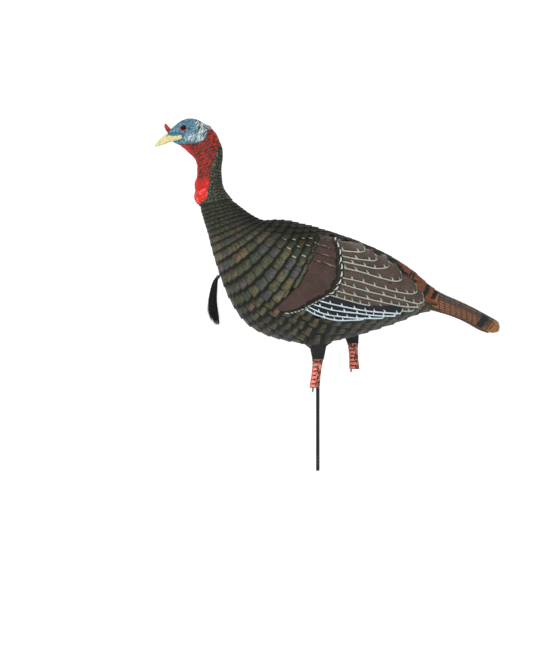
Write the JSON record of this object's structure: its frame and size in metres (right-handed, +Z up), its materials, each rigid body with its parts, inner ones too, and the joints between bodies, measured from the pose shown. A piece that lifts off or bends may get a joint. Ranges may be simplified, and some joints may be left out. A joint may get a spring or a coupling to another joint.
{
  "type": "turkey decoy",
  "caption": "Standing young-turkey decoy that turns and lifts off on a ground stake, with a turning head and a hanging hair beard.",
  "frame": {"origin": "centre of the stake's lower end", "axes": "+Z up along the stake; the bird faces -X and its left side is -Y"},
  "size_m": [0.891, 0.2644, 0.916],
  "materials": {
    "feathers": "moulded and painted feathers, dark olive green and black",
    "wing": "moulded and painted feathers, purplish brown",
    "tail": "moulded and painted feathers, chestnut with black bars",
    "head": "moulded and painted skin, red neck and light blue face",
    "snood_skin": "painted red",
    "horn": "painted pale yellow",
    "eye": "gloss black with a red rim",
    "leg_skin": "moulded scales painted coral pink",
    "black_rubber": "black",
    "nylon": "black moulded",
    "rod": "dark painted steel",
    "hair": "black horsehair"
  },
  "bodies": {
    "stake": {"stake_lower": "rod", "stake_upper": "rod"},
    "swivel": {"bearing_thimble": "nylon"},
    "decoy": {"body_shell": "feathers", "stake_tube": "nylon", "tube_top_boss": "nylon", "belly_flange": "black_rubber", "wing_left": "wing", "wing_right": "wing", "tail_fan": "tail", "tail_root_block": "nylon", "tail_peg": "nylon", "tail_bulkhead": "nylon", "leg_left": "leg_skin", "leg_right": "leg_skin", "leg_collar_left": "black_rubber", "leg_collar_right": "black_rubber", "leg_core_left": "rod", "leg_core_right": "rod", "neck_socket": "nylon", "beard_grommet": "black_rubber"},
    "head": {"head_casting": "head", "neck_spigot": "nylon", "neck_retaining_ring": "rod", "beak": "horn", "snood": "snood_skin", "eye_left": "eye", "eye_right": "eye"},
    "beard": {"beard_bundle": "hair", "beard_ferrule": "rod"}
  },
  "joints": [
    {"name": "swing", "type": "hinge", "parent": "stake", "child": "swivel", "pos_m": [0, 0, 0.575], "axis": [0, 0, 1], "continuous": true},
    {"name": "lift_off", "type": "slide", "parent": "swivel", "child": "decoy", "axis": [0, 0, 1], "range_m": [0, 0.26]},
    {"name": "head_turn", "type": "hinge", "parent": "decoy", "child": "head", "pos_m": [-0.262, 0, 0.692], "axis": [-0.187, 0, 0.9824], "range_deg": [-45, 45]},
    {"name": "beard_swing", "type": "hinge", "parent": "decoy", "child": "beard", "pos_m": [-0.2495, 0, 0.5125], "axis": [0, 1, 0], "range_deg": [-12, 50], "stiffness_Nm_per_rad": 0.05, "springref_deg": 2.29}
  ]
}
